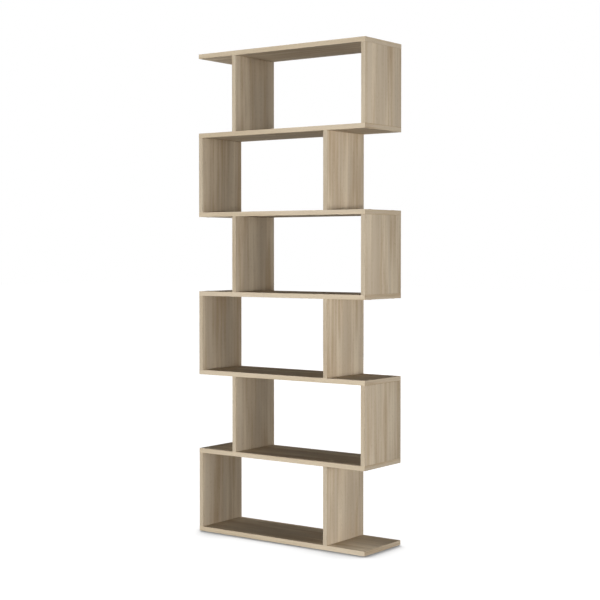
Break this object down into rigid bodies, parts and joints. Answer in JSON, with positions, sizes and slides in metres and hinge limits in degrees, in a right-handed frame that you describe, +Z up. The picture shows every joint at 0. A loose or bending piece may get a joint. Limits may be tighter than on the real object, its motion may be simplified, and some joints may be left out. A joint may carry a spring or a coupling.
{
  "type": "zigzag bookcase",
  "caption": "Tall open-backed zigzag bookcase in pale oak-decor board: full-width shelves held apart by uprights that swap sides on every tier, leaving a main compartment and an open end bay.",
  "frame": {"origin": "on the floor under the middle of the base shelf", "axes": "+Z up, +X to the right seen from the front, +Y from the front to the back"},
  "size_m": [0.8, 0.25, 1.924],
  "materials": {
    "oak_melamine": "pale oak-decor melamine, fine grain, matt",
    "oak_edging": "oak-decor plastic edging, a little lighter than the faces",
    "zinc_steel": "zinc-plated",
    "beech_dowel": "bare turned beech",
    "cap_plastic": "oak-coloured moulded plastic",
    "glide_plastic": "dark brown moulded plastic"
  },
  "bodies": {
    "root": {"base_shelf": "oak_melamine", "shelf_1": "oak_melamine", "shelf_2": "oak_melamine", "shelf_3": "oak_melamine", "shelf_4": "oak_melamine", "shelf_5": "oak_melamine", "top_shelf": "oak_melamine", "tier_1_outer_upright": "oak_melamine", "tier_1_inner_upright": "oak_melamine", "tier_2_outer_upright": "oak_melamine", "tier_2_inner_upright": "oak_melamine", "tier_3_outer_upright": "oak_melamine", "tier_3_inner_upright": "oak_melamine", "tier_4_outer_upright": "oak_melamine", "tier_4_inner_upright": "oak_melamine", "tier_5_outer_upright": "oak_melamine", "tier_5_inner_upright": "oak_melamine", "tier_6_outer_upright": "oak_melamine", "tier_6_inner_upright": "oak_melamine", "base_shelf_edging": "oak_edging", "shelf_1_edging": "oak_edging", "shelf_2_edging": "oak_edging", "shelf_3_edging": "oak_edging", "shelf_4_edging": "oak_edging", "shelf_5_edging": "oak_edging", "top_shelf_edging": "oak_edging", "tier_1_outer_upright_edging": "oak_edging", "tier_1_inner_upright_edging": "oak_edging", "tier_2_outer_upright_edging": "oak_edging", "tier_2_inner_upright_edging": "oak_edging", "tier_3_outer_upright_edging": "oak_edging", "tier_3_inner_upright_edging": "oak_edging", "tier_4_outer_upright_edging": "oak_edging", "tier_4_inner_upright_edging": "oak_edging", "tier_5_outer_upright_edging": "oak_edging", "tier_5_inner_upright_edging": "oak_edging", "tier_6_outer_upright_edging": "oak_edging", "tier_6_inner_upright_edging": "oak_edging", "tier_1_joint_screws": "zinc_steel", "tier_1_joint_dowels": "beech_dowel", "tier_1_screw_caps": "cap_plastic", "tier_2_joint_screws": "zinc_steel", "tier_2_joint_dowels": "beech_dowel", "tier_2_screw_caps": "cap_plastic", "tier_3_joint_screws": "zinc_steel", "tier_3_joint_dowels": "beech_dowel", "tier_3_screw_caps": "cap_plastic", "tier_4_joint_screws": "zinc_steel", "tier_4_joint_dowels": "beech_dowel", "tier_4_screw_caps": "cap_plastic", "tier_5_joint_screws": "zinc_steel", "tier_5_joint_dowels": "beech_dowel", "tier_5_screw_caps": "cap_plastic", "tier_6_joint_screws": "zinc_steel", "tier_6_joint_dowels": "beech_dowel", "tier_6_screw_caps": "cap_plastic", "foot_glides": "glide_plastic", "glide_nails": "zinc_steel"}
  },
  "joints": []
}
